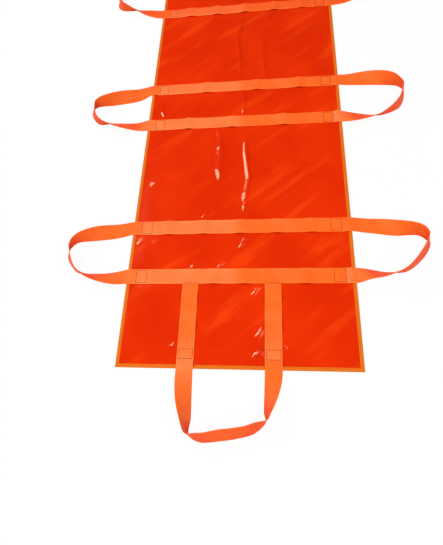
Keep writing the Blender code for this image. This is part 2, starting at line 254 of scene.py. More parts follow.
def laminatePaint():
    # Glossy film on a woven core: slow shade changes, painted sheen in slanting bands, a faint scrim and
    # fine scuffs. A sheen band is noise on the way along the bands times 3.2 and the way across them times
    # 17.
    look = laminateLook
    constants = {"Specular IOR Level": 0.38, "Specular Tint": (1.0, 0.80, 0.45, 1.0)}
    material, tree, shader, cloth, across, along = newPaint("laminate", constants)
    scrim = (across.ribs(look["scrimPitch"]) + along.ribs(look["scrimPitch"])) * 0.5
    cloud = tree.noise(cloth, 5.0, 3.0).between(0.35, 0.68)
    grain = tree.noise(cloth, 420.0, 2.0)
    scratch = tree.noise(stretched(tree, across, along, 14.0, 90.0), 6.0, 5.0).between(0.60, 0.74)
    c, s = look["streakWay"]
    slanted = stretched(tree, across * c + along * s, along * c - across * s, 3.2, 17.0)
    sheenStreak = tree.noise(slanted, 1.0, 3.0).between(0.52, 0.72)
    shade = tree.mix(cloud * 0.8 + scrim * 0.12, look["deep"], look["colour"])
    # Painted sheen: paler slanting bands in place of the film's reflections.
    shade = tree.mix(sheenStreak * look["streaks"], shade, look["pale"])
    tree.feed(shader.inputs["Base Color"], tree.mix(scratch * 0.10, shade, look["scuff"]))
    roughness = look["roughness"] + cloud * 0.02 + scratch * 0.06 + grain * 0.02
    tree.feed(shader.inputs["Roughness"], roughness)
    tree.feed(shader.inputs["Normal"], tree.bump(scrim * 0.5 + grain * 0.5, 0.00003, 0.8))
    return material


webbingLook = {
    "colour": (0.98, 0.116, 0.004, 1.0),
    "pale": (1.0, 0.165, 0.011, 1.0),
    # partly wear, partly painted highlight: rubbed patches and the webbing's sheen
    "worn": (1.0, 0.310, 0.110, 1.0),
    "deep": (0.98, 0.062, 0.001, 1.0),  # painted shade, where the webbing is seen obliquely
    "valley": (0.62, 0.046, 0.002, 1.0),
    "roughness": 0.45,
    "fadeLength": 0.90,  # of the painted sheen, a slow wave along the goods that pales the straps towards their left ends
    "fadeTurn": 2.967,
    "ribPitch": 0.00125,
    "pickPitch": 0.0021,
}


def webbingPaint(width):
    # Flat weave: ribs along the band whose neighbours float half a pick apart, and a firm edge; painted
    # shade in its hollows and where it is seen obliquely, and painted sheen in pale patches along it.
    look = webbingLook
    constants = {"Specular IOR Level": 0.45, "Specular Tint": (1.0, 0.80, 0.45, 1.0)}
    material, tree, shader, cloth, across, along = newPaint("webbing", constants)
    rib = across.ribs(look["ribPitch"])
    odd = (across * (1 / look["ribPitch"])).math("FLOOR").math("PINGPONG", 1.0)
    pick = (along + odd * (look["pickPitch"] / 2)).ribs(look["pickPitch"])
    weave = rib * (0.35 + pick * 0.65)
    edge = across.math("ABSOLUTE").between(width / 2 - 0.0030, width / 2 - 0.0016)
    weave = weave * (1 - edge * 0.6) + edge * 0.5
    yarn = tree.noise(stretched(tree, across, along, 900.0, 24.0), 1.0, 2.0)
    cloud = tree.noise(cloth, 26.0, 3.0).between(0.3, 0.7)
    thread = tree.mix(yarn.between(0.35, 0.65) * 0.5 + cloud * 0.4, look["colour"], look["pale"])
    # Pale patches, partly wear and partly painted highlight where the webbing would catch the light, and
    # painted sheen in a slow wave along the goods.
    worn = tree.noise(stretched(tree, across, along, 6.0, 11.0), 1.0, 1.0).between(0.46, 0.72)
    fade = (along * (2 * math.pi / look["fadeLength"]) + look["fadeTurn"]).math("SINE").between(-0.2, 1.0)
    thread = tree.mix(worn * 0.22 + fade * 0.36, thread, look["worn"])
    # Painted light: the colour deepens where the webbing is seen obliquely and stays paler face on, in place
    # of its sheen.
    slantShade = tree.node("LayerWeight", {}, {"Blend": 0.5}, "Facing").between(0.28, 0.56)
    thread = tree.mix(slantShade * 0.85, thread, look["deep"])
    # Painted shade in the hollows of the weave.
    tree.feed(shader.inputs["Base Color"], tree.mix(weave.between(0.0, 0.42), look["valley"], thread))
    tree.feed(shader.inputs["Roughness"], look["roughness"] + (1 - weave) * 0.22 + yarn * 0.06)
    tree.feed(shader.inputs["Normal"], tree.bump(weave + yarn * 0.2, 0.00040, 0.95))
    return material


tapeLook = {
    "colour": (0.72, 0.148, 0.001, 1.0),
    "valley": (0.44, 0.066, 0.0005, 1.0),
    "roughness": 0.46,
    "ribPitch": 0.0011,
}


def tapePaint():
    # Ribbed tape: close ribs across it with painted shade between them, and slow shade changes along it.
    look = tapeLook
    constants = {"Specular IOR Level": 0.3, "Specular Tint": (1.0, 0.80, 0.45, 1.0)}
    material, tree, shader, cloth, across, along = newPaint("binding_tape", constants)
    rib = along.ribs(look["ribPitch"])
    yarn = tree.noise(stretched(tree, across, along, 60.0, 500.0), 1.0, 2.0)
    cloud = tree.noise(cloth, 18.0, 2.0).between(0.3, 0.7)
    # Painted shade between the ribs.
    shade = tree.mix(rib.between(0.0, 0.5) * (0.82 + cloud * 0.18), look["valley"], look["colour"])
    tree.feed(shader.inputs["Base Color"], shade)
    tree.feed(shader.inputs["Roughness"], look["roughness"] + (1 - rib) * 0.15 + yarn * 0.08)
    tree.feed(shader.inputs["Normal"], tree.bump(rib + yarn * 0.2, 0.00018, 0.7))
    return material


threadLooks = {
    # The seam thread's own deep red, made darker as painted shade for the groove that each stitch sinks into.
    "seam_thread": {"colour": (0.28, 0.022, 0.003, 1.0), "dark": (0.14, 0.010, 0.001, 1.0)},
    "tape_thread": {"colour": (0.80, 0.120, 0.006, 1.0), "dark": (0.40, 0.040, 0.003, 1.0)},
}


def threadPaint(name):
    # Twisted sewing thread: slanting stripes round each stitch, with painted shade between its plies.
    look = threadLooks[name]
    constants = {"Specular IOR Level": 0.3}
    material, tree, shader, cloth, across, along = newPaint(name, constants)
    ply = (across + along * 900.0).ribs(1.0)
    tree.feed(shader.inputs["Base Color"], tree.mix(ply, look["dark"], look["colour"]))
    tree.feed(shader.inputs["Roughness"], 0.50 + (1 - ply) * 0.2)
    tree.feed(shader.inputs["Normal"], tree.bump(ply, 0.00012, 0.6))
    return material


paints = {
    "laminate": laminatePaint(),
    "webbing": webbingPaint(webWidth),
    "binding_tape": tapePaint(),
    "seam_thread": threadPaint("seam_thread"),
    "tape_thread": threadPaint("tape_thread"),
}
print("stretcher: finishes ready")


# The sheet's relief. Waves are height, length, direction in degrees and phase. A crease is height,
# half width and its course in millimetres. Both are given for the foot half, and the head half is
# the same turned half round.
sheetLook = {
    "inset": 0.0009,  # of its edge within the tape
    "coarse": 0.0046,  # cells of its grid across
    "fine": 0.0024,  # and where the long creases run
    "fineHalf": 0.190,
    "row": 0.0023,
    "fromTape": 0.040,
    "underWeb": 0.35,  # share of the relief that is left under a strap or a leg
    "creaseEnd": 0.03,  # in which a crease is let down at its ends
    "beads": 0.45,  # share of a crease's height that comes and goes along it
    "beadWaves": ((150, 9000), (57, 4000)),  # radians for a metre of length and for one of height
    "beadHalf": 0.010,  # widest crease that has beads
    "beadLength": 0.08,  # and the shortest
    "besideStrap": 0.012,  # in which the relief comes back beside a strap
    "besideLeg": 0.010,
    "besideBox": 0.03,
    "besideTuck": 0.01,
    "bend": 0.016,  # half of what bends at a fold
    "turn": (0.02, 0.05),  # where the foot half's relief goes over into the head half's
    "waves": (
        (0.00032, 0.310, 20, 0.4),
        (0.00022, 0.230, 105, 1.9),
        (0.00018, 0.165, 62, 3.0),
        (0.00010, 0.120, -35, 5.1),
    ),
    "creases": (
        (0.0042, 0.0120, ((6, 76), (5, 20), (5, -66))),
        (0.0009, 0.0090, ((5, -50), (10, -120), (16, -190))),
        (0.0046, 0.0140, ((14, -160), (16, -235), (20, -266), (29, -343), (19, -405), (15, -445))),
        (0.0024, 0.0085, ((20, -425), (15, -452), (13, -484))),
        (0.0022, 0.0400, ((6, 70), (5, -55), (13, -130), (17, -235), (29, -343), (16, -520))),
        (0.0031, 0.0160, ((-92, -98), (-80, -151), (-72, -222))),
        (0.0040, 0.0220, ((-76, -180), (-72, -256), (-76, -298), (-60, -356))),
        (0.0034, 0.0110, ((-76, -430), (-130, -505))),
        (0.0034, 0.0100, ((36, -540), (-2, -620))),
        (0.0033, 0.0095, ((-33, -636), (-79, -698))),
        (0.0025, 0.0090, ((-128, -648), (-160, -694))),
        (0.0032, 0.0095, ((76, -720), (38, -781))),
        (0.0040, 0.0110, ((96, -846), (49, -912))),
        (0.0054, 0.0130, ((97, -914), (62, -946), (32, -983))),
        (0.0026, 0.0090, ((151, -908), (123, -951))),
        (0.0020, 0.0090, ((-173, -908), (-204, -942))),
        (0.0030, 0.0095, ((-314, 0), (-288, -62))),
        (0.0060, 0.0085, ((-344, -18), (-324, 22))),
        (0.0050, 0.0085, ((-345, -600), (-320, -572))),
        (0.0026, 0.0090, ((-178, -98), (-191, -148))),
        (0.0012, 0.0150, ((-296, -594), (-236, -562))),
        (0.0021, 0.0220, ((-325, -356), (-170, -308))),
        (0.0031, 0.0105, ((-280, -52), (-205, 18))),
        (0.0031, 0.0105, ((-214, -75), (-138, 18))),
        (0.0029, 0.0100, ((-135, -62), (-70, 18))),
        (0.0006, 0.0080, ((-353, -373), (0, -400), (348, -436))),
    ),
    "crumples": 50,  # small chance creases over each half
    "crumpleX": (-150, 330),  # in millimetres
    "crumpleY": (-960, 0),
    "crumpleSlant": (50, 35),  # mean and spread, in degrees
    "crumpleBow": 0.12,
    "crumpleLength": (0.03, 0.14),
    "crumpleHeight": (0.0003, 0.0010),
    "crumpleHalf": (0.006, 0.016),
}


def chanceCreases():
    # Short creases at chance places, mostly slanting, the same on each run. Each has three points:
    # centre - reach way, centre + bow side, and centre + reach way. Reach is half its length.
    look = sheetLook
    chance = np.random.default_rng(11)
    made = []
    for _ in range(look["crumples"]):
        centre = np.array([chance.uniform(*look["crumpleX"]), chance.uniform(*look["crumpleY"])])
        angle = math.radians(chance.normal(*look["crumpleSlant"]))
        reach = chance.uniform(*look["crumpleLength"]) * 500
        bow = chance.normal(0, look["crumpleBow"]) * reach
        way = np.array([math.cos(angle), math.sin(angle)])
        side = np.array([-way[1], way[0]])
        course = [centre - way * reach, centre + side * bow, centre + way * reach]
        height, half = (chance.uniform(*look[key]) for key in ("crumpleHeight", "crumpleHalf"))
        made.append((height, half, course))
    return made


crumples = chanceCreases()


def wavesAt(x, y):
    # Sum of h (1 + sin(2 pi (x cos a + y sin a) / length + phase)).
    total = np.zeros_like(x)
    for height, length, degrees, phase in sheetLook["waves"]:
        angle = math.radians(degrees)
        way = x * math.cos(angle) + y * math.sin(angle)
        total += height * (1 + np.sin(2 * math.pi * way / length + phase))
    return total


def creaseAt(x, y, height, half, course):
    # height (1 + cos(pi d / half)) / 2 at distance d from the course, let down over both its ends
    # and, where it is long and narrow, in beads along it.
    look = sheetLook
    course = np.array(course) / 1000
    starts = lengthAlong(course)
    nearest = np.full(x.shape, np.inf)
    place = np.zeros_like(x)
    for start, a, b in zip(starts, course, course[1:]):
        run = b - a
        share = np.clip(((x - a[0]) * run[0] + (y - a[1]) * run[1]) / (run @ run), 0, 1)
        distance = np.hypot(x - a[0] - share * run[0], y - a[1] - share * run[1])
        place = np.where(distance < nearest, start + share * math.hypot(*run), place)
        nearest = np.minimum(nearest, distance)
    fade = min(look["creaseEnd"], starts[-1] / 2)
    shown = rise(place, fade) * rise(starts[-1] - place, fade)
    quick, slow = (np.sin(place * turns + height * shift) for turns, shift in look["beadWaves"])
    beads = quick * slow
    share = look["beads"] * rise(starts[-1] - look["beadLength"], 0.04) * (half < look["beadHalf"])
    shown = shown * (1 - share * (1 + beads) / 2)
    return height * shown * (1 + np.cos(math.pi * np.minimum(nearest / half, 1))) / 2


def halfRelief(x, y):
    # The foot half's waves and creases.
    total = wavesAt(x, y)
    for height, half, course in [*sheetLook["creases"], *crumples]:
        total += creaseAt(x, y, height, half, course)
    return total


def heldDown(x, y):
    # 0 at the tape and at stitched boxes, less under webbing, 1 in the open.
    look = sheetLook
    inset = np.minimum(halfWidth - tapeWidth - np.abs(x), halfLength - tapeWidth - np.abs(y))
    share = rise(inset, look["fromTape"])
    loose, box, tuck = 1 - look["underWeb"], look["besideBox"], look["besideTuck"]
    for y0 in strapY.values():
        near = 1 - rise(np.abs(y - y0) - webWidth / 2, look["besideStrap"])
        share = share * (1 - near * loose) * (1 - near * rise(np.abs(x) - boxInner + box, box))
    for x0 in legX.values():
        inLeg = 1 - rise(np.abs(x - x0) - webWidth / 2, look["besideLeg"])
        near = inLeg * rise(np.abs(y) - tuckEnd + tuck, tuck)
        share = share * (1 - near * loose) * (1 - inLeg * rise(np.abs(y) - legBoxInner + box, box))
    return share


def reliefAt(x, y):
    # The foot half's relief, and the same turned half round for the head half.
    start, length = sheetLook["turn"]
    turn = rise(y - start, length)
    return (halfRelief(x, y) * (1 - turn) + halfRelief(-x, -y) * turn) * heldDown(x, y)


def sheetGrid(low, high):
    # Even rows from low to high, and columns that are closer in the middle.
    look = sheetLook
    edge = halfWidth - look["inset"]
    coarse = np.linspace(-edge, -look["fineHalf"], round((edge - look["fineHalf"]) / look["coarse"]) + 1)
    fine = np.linspace(-look["fineHalf"], look["fineHalf"], round(2 * look["fineHalf"] / look["fine"]) + 1)
    columns = np.concatenate([coarse, fine[1:-1], -coarse[::-1]])
    rows = np.linspace(low, high, round((high - low) / look["row"]) + 1)
    return np.meshgrid(columns, rows)


def addSheet(name, low, high):
    # Each ring runs across the upper side and back along the underside.
    x, y = sheetGrid(low, high)
    relief = reliefAt(x, y)
    upper = np.stack([x, y, sheetTop + relief], -1)
    under = np.stack([x, y, sheetUnder + relief], -1)[:, ::-1]
    rings = np.concatenate([upper, under], 1)
    rows, columns = rings.shape[:2]
    points = rings.reshape(-1, 3)
    half = columns // 2
    caps = []
    for start, way in ((0, 1), ((rows - 1) * columns, -1)):
        for j in range(half - 1):
            corners = [start + j, start + columns - 1 - j, start + columns - 2 - j, start + j + 1]
            caps.append(corners[::way])
    faces = gridFaces(rows, columns, True)
    return addPiece(name, points, faces, points[:, :2], paints["laminate"], caps)


def foldBlend(piece, label):
    # Bakes the piece's placing into its mesh; label names its section.
    y = ends[label] * foldY
    bend = ends[label] * sheetLook["bend"]
    y - bend
    y + bend
    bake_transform(piece)


split = strapY["middle_upper"]
outerSplit = strapY["head_far"]
edgeY = halfLength - sheetLook["inset"]
sheetSpans = {
    "sheetFootEnd": (-edgeY, -outerSplit),
    "sheetFoot": (-outerSplit, -split),
    "sheetMiddle": (-split, split),
    "sheetHead": (split, outerSplit),
    "sheetHeadEnd": (outerSplit, edgeY),
}
sheets = {name: addSheet(name, low, high) for name, (low, high) in sheetSpans.items()}
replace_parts(sheets["sheetMiddle"], "sheet_middle")
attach(sheets["sheetMiddle"], "middle_section")
for label in ends:
    name = "sheet" + label.capitalize()
    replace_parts(sheets[name], "sheet_" + label)
    foldBlend(sheets[name], label)
    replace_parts(sheets[name + "End"], "sheet_" + label)
    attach(sheets[name + "End"], label + "_section")
print("stretcher: sheet ready")


tapeShape = {
    "width": 0.0114,  # a little less than its solid's
    "depth": 0.0023,  # over both sides of the sheet
    "nose": 0.00115,  # radius of its rounded outer edge
    "pucker": 0.00018,
    "puckerLength": 0.0115,
    "station": 0.004,
    "stitchInset": 0.0030,  # of the row of stitches from the tape's inner edge
    "stitchPitch": 0.0034,
    "stitchLength": 0.0027,
    "stitchRadius": 0.00033,
}


def tapeProfile():
    # The folded tape's outline, as way in from its outer face and height.
    shown = tapeShape["width"]
    under = tapeTop - tapeShape["depth"]
    nose = tapeShape["nose"]
    centre = (tapeTop + under) / 2
    turns = np.radians(np.linspace(90, 270, 7))
    bow = np.stack([nose + nose * np.cos(turns), centre + nose * np.sin(turns)], 1)
    upper = [(shown, tapeTop - 0.0002), (shown - 0.0003, tapeTop), (shown / 2, tapeTop + 0.0001)]
    lower = [(shown / 2, under - 0.00005), (shown - 0.0003, under), (shown, under + 0.0002)]
    inner = [(shown, sheetUnder - 0.0001), (0.0008, sheetUnder - 0.0001),
             (0.0008, sheetTop + 0.0003), (shown, sheetTop + 0.0003)]
    return np.array([*upper, *bow, *lower, *inner])


def tapeCourse(corners):
    # Stations along straight runs, with one on each mitre: place, way in at the station, length so far.
    places, inward, lengths = [], [], []
    done = 0.0
    for i, (a, b) in enumerate(zip(corners, corners[1:])):
        a, b = np.array(a), np.array(b)
        length = np.linalg.norm(b - a)
        way = (b - a) / length
        normal = np.array([-way[1], way[0]])
        first = tapeWidth + 0.002 if i > 0 else 0.0
        last = length - tapeWidth - 0.002 if i < len(corners) - 2 else length
        steps = np.linspace(first, last, max(2, round((last - first) / tapeShape["station"]) + 1))
        places.append(a + steps[:, None] * way)
        inward.append(np.broadcast_to(normal, (len(steps), 2)))
        lengths.append(done + steps)
        done += length
        if i < len(corners) - 2:
            onward = np.array(corners[i + 2]) - b
            onward = onward / np.linalg.norm(onward)
            places.append(b[None])
            inward.append((normal + np.array([-onward[1], onward[0]]))[None])
            lengths.append(np.array([done]))
    return np.concatenate(places), np.concatenate(inward), np.concatenate(lengths)


def addTape(name, corners):
    # The profile swept round, each point at place + inward d. The upper side puckers by a sine of
    # the length times two slower ones.
    places, inward, lengths = tapeCourse(corners)
    profile = tapeProfile()
    across, height = profile.T
    flat = places[:, None] + inward[:, None] * across[None, :, None]
    phase = lengths[:, None] / tapeShape["puckerLength"]
    slow = 0.5 + 0.5 * np.sin(phase * 0.31)
    pucker = np.sin(phase * 2 * math.pi) * np.sin(phase * 1.37 + across * 300) * slow
    raised = (height > sheetTop) * rise(across, tapeShape["width"])
    z = height + tapeShape["pucker"] * pucker * raised
    rings = np.concatenate([flat, z[..., None]], -1)
    around = lengthAlong(profile)
    cloth = np.stack(np.broadcast_arrays(around[None], lengths[:, None]), -1)
    rows, columns = z.shape
    faces = gridFaces(rows, columns, True)
    points, flatPoints = rings.reshape(-1, 3), cloth.reshape(-1, 2)
    caps = endCaps(rows, columns)
    return addPiece(name, points, faces, flatPoints, paints["binding_tape"], caps)


def stitchTemplate(length, radius):
    # A stitch lying along x: five rings of six points, rounded down at its ends.
    stations = np.array([-0.5, -0.40, 0.0, 0.40, 0.5]) * length
    girths = np.array([0.30, 0.80, 1.0, 0.80, 0.30]) * radius
    turns = np.arange(6) * math.pi / 3
    points = np.stack([
        np.repeat(stations, 6),
        (girths[:, None] * np.cos(turns)).ravel(),
        (girths[:, None] * np.sin(turns)).ravel(),
    ], 1)
    cloth = np.stack([np.tile(turns / math.pi, 5), np.repeat(stations, 6)], 1)
    return points, cloth


def addStitches(name, centres, ways, look, paint):
    # One stitch at each centre, turned to lie along its way.
    shape, cloth = stitchTemplate(look["stitchLength"], look["stitchRadius"])
    ways = ways / np.linalg.norm(ways, axis=1)[:, None]
    sideways = np.cross(np.array([0.0, 0.0, 1.0]), ways)
    sideways /= np.linalg.norm(sideways, axis=1)[:, None]
    up = np.cross(ways, sideways)
    axes = np.stack([ways, sideways, up], 1)
    points = centres[:, None] + shape @ axes
    faces = (gridFaces(5, 6, True)[None] + np.arange(len(centres))[:, None, None] * len(shape)).reshape(-1, 4)
    caps = [[k * 30 + j for j in ring] for k in range(len(centres)) for ring in endCaps(5, 6)]
    shared = np.tile(cloth, (len(centres), 1))
    return addPiece(name, points.reshape(-1, 3), faces, shared, paint, caps)


def tapeStitches(name, corners):
    # Two rows round the tape, one on its upper side and one on its underside.
    look = tapeShape
    places, inward, lengths = tapeCourse(corners)
    inner = places + inward * (look["width"] - look["stitchInset"])
    along = lengthAlong(inner)
    marks = np.arange(look["stitchPitch"], along[-1] - look["stitchPitch"], look["stitchPitch"])
    x, y = (np.interp(marks, along, inner[:, k]) for k in range(2))
    ahead, behind = (
        np.column_stack([np.interp(marks + shift, along, inner[:, k]) for k in range(2)])
        for shift in (0.001, -0.001)
    )
    ways = np.column_stack([ahead - behind, np.zeros(len(marks))])
    upper = np.stack([x, y, np.full_like(x, tapeTop + 0.00012)], 1)
    lower = np.stack([x, y, np.full_like(x, tapeTop - look["depth"] + 0.00008)], 1)
    centres, bothWays = np.concatenate([upper, lower]), np.concatenate([ways, ways])
    return addStitches(name, centres, bothWays, look, paints["tape_thread"])


tapeCorners = {
    "bindingFoot": [
        (-halfWidth, -split), (-halfWidth, -halfLength), (halfWidth, -halfLength), (halfWidth, -split)
    ],
    "bindingHead": [
        (halfWidth, split), (halfWidth, halfLength), (-halfWidth, halfLength), (-halfWidth, split)
    ],
    "bindingMiddleLeft": [(-halfWidth, split), (-halfWidth, -split)],
    "bindingMiddleRight": [(halfWidth, -split), (halfWidth, split)],
}
tapes = {name: addTape(name, corners) for name, corners in tapeCorners.items()}
tapeSeams = {name: tapeStitches(name + "Stitches", corners) for name, corners in tapeCorners.items()}
for label in ends:
    name = "binding" + label.capitalize()
    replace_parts(tapes[name], "binding_left_" + label, "binding_right_" + label, f"binding_{label}_end")
    foldBlend(tapes[name], label)
    foldBlend(tapeSeams[name], label)
for side in sides:
    name = "bindingMiddle" + side.capitalize()
    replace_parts(tapes[name], f"binding_{side}_middle")
    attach(tapes[name], "middle_section")
    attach(tapeSeams[name], "middle_section")
print("stretcher: edge tape ready")


webbingShape = {
    "station": 0.004,
    "edge": 0.0007,  # reach of the rounded edge
    "cup": 0.0004,
    "legRamp": 0.010,
    "liftHeight": 0.0038,
    "liftHalf": 0.0170,
    "rowInset": 0.0022,  # of the row that holds a leg's end, from the strap's edge
    "seamInset": 0.0006,  # of a strap's end from its last row of stitches
    "stitchPitch": 0.0032,
    "stitchLength": 0.0030,
    "stitchRadius": 0.00068,
}


def bandProfile():
    # Outline of the webbing: way across from its middle line, and height over its underside.
    edge = webbingShape["edge"]
    flat = np.linspace(-webWidth / 2 + edge, webWidth / 2 - edge, 9)
    turns = np.radians([55, 20, -20, -55])
    outer = webWidth / 2 - edge + edge * np.cos(turns)
    rounded = np.stack([outer, webThickness / 2 * (1 + np.sin(turns))], 1)
    upper = np.stack([flat, np.full(9, webThickness)], 1)
    under = np.stack([flat[::-1], np.zeros(9)], 1)
    other = np.stack([-rounded[::-1, 0], rounded[::-1, 1]], 1)
    return np.concatenate([upper, rounded, under, other])


def addBand(name, rings, cloth):
    # Webbing from rings of points, closed at both ends.
    rows, columns = rings.shape[:2]
    points, flatPoints = rings.reshape(-1, 3), cloth.reshape(-1, 2)
    faces, caps = gridFaces(rows, columns, True), endCaps(rows, columns)
    return addPiece(name, points, faces, flatPoints, paints["webbing"], caps)


def laidBand(name, along, base, place, turned):
    # Flat webbing on the sheet: base is the height of its underside at each station.
    profile = bandProfile()
    across, height = profile.T
    a, u = np.broadcast_arrays(along[:, None], across[None])
    z = base[:, None] + height[None]
    rings = np.stack([place + u, a, z], -1) if turned else np.stack([a, place + u, z], -1)
    return addBand(name, rings, np.stack([u, a], -1))


def baseAcross(along, place, turned):
    # The highest that the sheet reaches under the webbing at each station.
    offsets = np.linspace(-0.45, 0.45, 7) * webWidth
    a, u = np.broadcast_arrays(along[:, None], place + offsets[None])
    relief = reliefAt(u, a) if turned else reliefAt(a, u)
    return sheetTop + gap + relief.max(axis=1)


def overLegs(x):
    # 1 over a leg, and down to 0 within the ramp beside it.
    beside = np.minimum(*[np.abs(x - x0) for x0 in legX.values()]) - webWidth / 2
    return 1 - rise(beside, webbingShape["legRamp"])


def liftWaves(along, marks, limit):
    # Rounded humps at the marks, e^-(d / half)^2 each, none near the limit.
    total = np.zeros_like(along)
    for mark in marks:
        total += np.exp(-(((along - mark) / webbingShape["liftHalf"]) ** 2))
    return webbingShape["liftHeight"] * total * rise(limit - np.abs(along), 0.03)


seamX = boxOuter - webbingShape["seamInset"]
seamY = legBoxOuter - webbingShape["seamInset"]
# Places along each strap and leg where it stands off the sheet
strapMarks = {
    "foot_near": (-0.285, -0.079, 0.021, 0.205),
    "foot_far": (-0.234, -0.120, 0.002, 0.120, 0.230),
    "middle_lower": (-0.200, -0.040, 0.150),
    "middle_upper": (0.210, 0.050, -0.140),
    "head_far": (0.234, 0.120, -0.002, -0.120, -0.230),
    "head_near": (0.285, 0.079, -0.021, -0.205),
}
legMarks = (0.775, 0.860)
strapTops = {}
for key, y0 in strapY.items():
    x = np.linspace(-seamX, seamX, round(2 * seamX / webbingShape["station"]) + 1)
    base = baseAcross(x, y0, False) + liftWaves(x, strapMarks[key], boxInner)
    if key.endswith("near"):
        base = base + (webThickness + gap) * overLegs(x)
    name = "strap" + "".join(word.capitalize() for word in key.split("_"))
    piece = laidBand(name, x, base, y0, False)
    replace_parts(piece, "strap_" + key)
    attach(piece, key.split("_")[0] + "_section")
    strapTops[key] = (x, base + webThickness)

legTops = {}
for label, end in ends.items():
    for side, x0 in legX.items():
        y = end * np.linspace(tuckEnd, seamY, round((seamY - tuckEnd) / webbingShape["station"]) + 1)
        marks = [end * mark for mark in legMarks]
        base = baseAcross(y, x0, True)
        clear = rise(np.abs(y) - strapY["head_near"] - webWidth / 2, 0.03)
        base = base + liftWaves(y, marks, legBoxInner) * clear
        piece = laidBand(f"leg{label.capitalize()}{side.capitalize()}", y, base, x0, True)
        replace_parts(piece, f"leg_{label}_{side}")
        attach(piece, label + "_section")
        legTops[label, side] = (y, base + webThickness)
print("stretcher: straps and legs ready")


# Courses of the loops: way out as a share of the reach, way along as a share of the half gap,
# the way that the band's width faces in degrees, and how far it is tipped up from the floor.
footRight = [
    (0, 1, 90, 0), (.270, .87, 83, 7), (.550, .72, 82, 37), (.827, .74, 76, 75),
    (.945, .45, 130, 79), (.979, .18, 176, 67), (.864, -.52, 150, 70), (.639, -1.19, 116, 86),
    (.382, -1.23, 90, 121), (.150, -1.06, 89, 150), (0, -1, 90, 180),
]
footLeft = [
    (0, 1, 90, 0), (.259, .80, 83, 12), (.545, .70, 80, 50), (.800, .62, 62, 92),
    (.905, .28, 34, 110), (.928, -.10, 4, 118), (.892, -.52, -26, 116), (.732, -1.14, -56, 98),
    (.512, -1.21, -83, 58), (.258, -1.18, -91, 28), (0, -1, -90, 0),
]
middleRight = [
    (0, 1, 90, 0), (.220, .95, 88, 12), (.620, .85, 82, 52), (.890, .70, 55, 98),
    (.975, .16, 10, 104), (.880, -.89, -35, 104), (.626, -1.38, -76, 71), (.420, -1.36, -93, 41),
    (0, -1, -90, 0),
]
middleLeft = [
    (0, 1, 90, 0), (.224, .60, 80, 20), (.620, .39, 79, 63), (.929, .31, 45, 106),
    (1.0, -.28, -7, 119), (.846, -1.07, -49, 98), (.589, -1.07, -83, 48), (.224, -1.14, -88, 20),
    (0, -1, -90, 0),
]
endRoute = [
    (0, 1, 90, 0), (.284, .99, 88, 32), (.568, .98, 87, 65), (.705, 1.02, 130, 80),
    (.852, .73, 207, 62), (.923, .30, 195, 59), (.966, -.18, 185, 57), (.989, -.68, 180, 64),
    (.895, -1.00, 228, 80), (.672, -.97, 272, 58), (.333, -.99, 273, 27), (0, -1, 270, 0),
]
loopShape = {
    "sideReach": 0.230,
    "endReach": 0.196,
    "landing": 0.050,  # the way out over which an arm comes down to the floor
    "stations": 190,
    "cup": 0.0006,
    "bend": 0.012,  # what bends beyond the edge when a loop swings
}


def loopRings(route, reach, halfGap, arm):
    # The webbing along its course, with an arm at each end that runs in over the tape to the seam.
    rows = [(-arm / reach, *route[0][1:]), *route, (-arm / reach, *route[-1][1:])]
    outShare, gapShare, facing, roll = curveThrough(rows, loopShape["stations"]).T
    out, along = outShare * reach, gapShare * halfGap
    facing, roll = np.radians(facing), np.radians(roll)
    width = np.stack([np.cos(roll) * np.cos(facing), np.cos(roll) * np.sin(facing), np.sin(roll)], 1)
    inner = np.stack([out, along, np.zeros_like(out)], 1)
    centre = inner + width * webWidth / 2
    tangent = np.gradient(centre, axis=0)
    normal = np.cross(tangent, width)
    normal /= np.linalg.norm(normal, axis=1)[:, None]
    across, height = bandProfile().T
    length = lengthAlong(centre)
    free = rise(out, loopShape["landing"])
    dish = loopShape["cup"] * free[:, None] * (1 - (2 * across / webWidth) ** 2)
    level = height[None] - webThickness / 2 + dish
    rings = centre[:, None] + width[:, None] * across[None, :, None] + normal[:, None] * level[..., None]
    onTape = sheetTop + gap + (tapeTop - sheetTop) * (1 - rise(-out - tapeWidth, 0.010))
    outside = (tapeTop + gap) * np.clip(1 - out / loopShape["landing"], 0, 1) ** 2
    floor = np.where(out < 0, onTape, outside)
    rings[..., 2] += (floor - rings[..., 2].min(axis=1))[:, None]
    cloth = np.stack(np.broadcast_arrays(across[None], length[:, None]), -1)
    return rings, cloth


def placeSide(rings, side, y, flip):
    # Way out becomes x beyond the edge, way along becomes y.
    return np.stack([side * (halfWidth + gap + rings[..., 0]), y + flip * rings[..., 1], rings[..., 2]], -1)


def placeEnd(rings, end):
    # Way out becomes y beyond the edge, way along becomes x.
    x0 = (legX["left"] + legX["right"]) / 2
    return np.stack([x0 + rings[..., 1], end * (halfLength + gap + rings[..., 0]), rings[..., 2]], -1)


def addLoop(name, node, rings, cloth):
    # A loop's webbing in place of its part, with its placing baked into its mesh.
    piece = addBand(name, rings, cloth)
    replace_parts(piece, node)
    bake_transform(piece)


